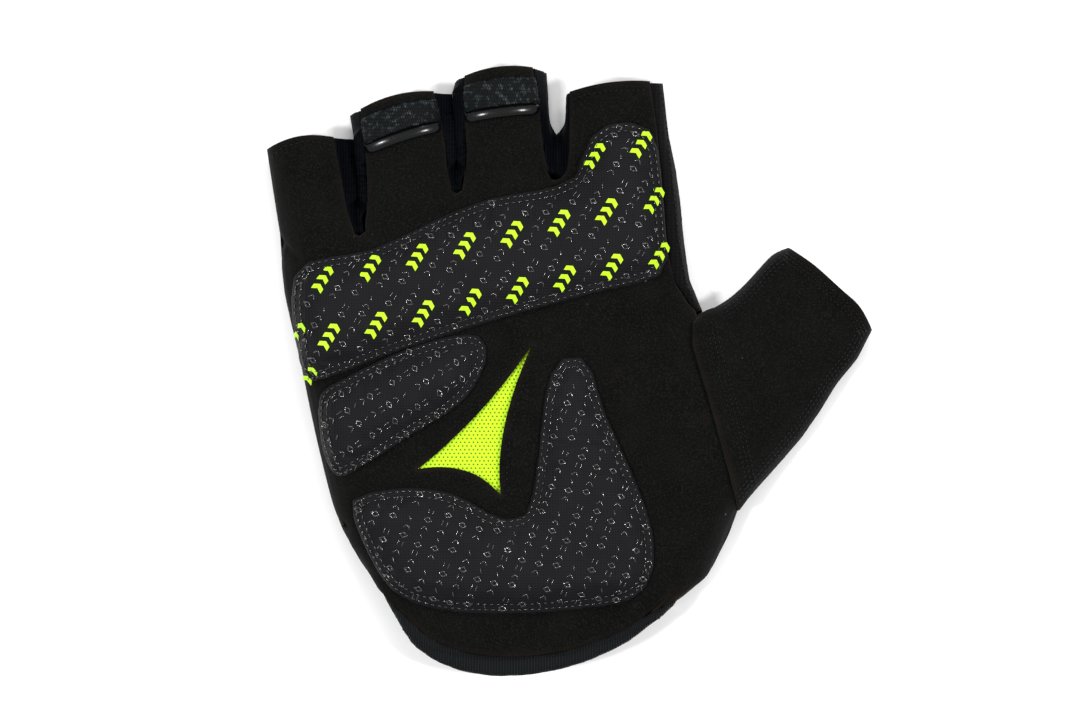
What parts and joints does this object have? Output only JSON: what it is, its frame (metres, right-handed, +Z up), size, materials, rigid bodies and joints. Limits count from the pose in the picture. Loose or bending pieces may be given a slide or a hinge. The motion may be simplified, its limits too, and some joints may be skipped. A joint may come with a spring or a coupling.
{
  "type": "fingerless cycling glove",
  "caption": "Right-hand fingerless cycling glove lying palm up: suede palm with raised pads, bright mesh inset, open finger stalls, pull tabs and a bound wrist.",
  "frame": {"origin": "on the surface that the glove lies on, under the middle of its outline seen from above", "axes": "+X towards the thumb, +Y towards the fingertips, +Z up out of the palm"},
  "size_m": [0.1534, 0.155, 0.0205],
  "materials": {
    "suede": "napped matte",
    "knit": "smooth stretch knit",
    "fourchette_knit": "smooth stretch knit",
    "pad_cloth": "fine weave with glossy printed grip marks",
    "mesh_cloth": "open mesh",
    "tape": "satin woven tape",
    "binding_rib": "ribbed elastic"
  },
  "bodies": {
    "root": {"palm_panel": "suede", "back_panel": "knit", "thumb_front": "suede", "thumb_back": "knit", "fourchette_ring_little": "fourchette_knit", "fourchette_middle_ring": "fourchette_knit", "fourchette_index_middle": "fourchette_knit", "knuckle_pad": "pad_cloth", "side_pad": "pad_cloth", "heel_pad": "pad_cloth", "mesh_inset": "mesh_cloth", "pull_tab_ring": "tape", "pull_tab_middle": "tape", "wrist_binding": "binding_rib"}
  },
  "joints": []
}
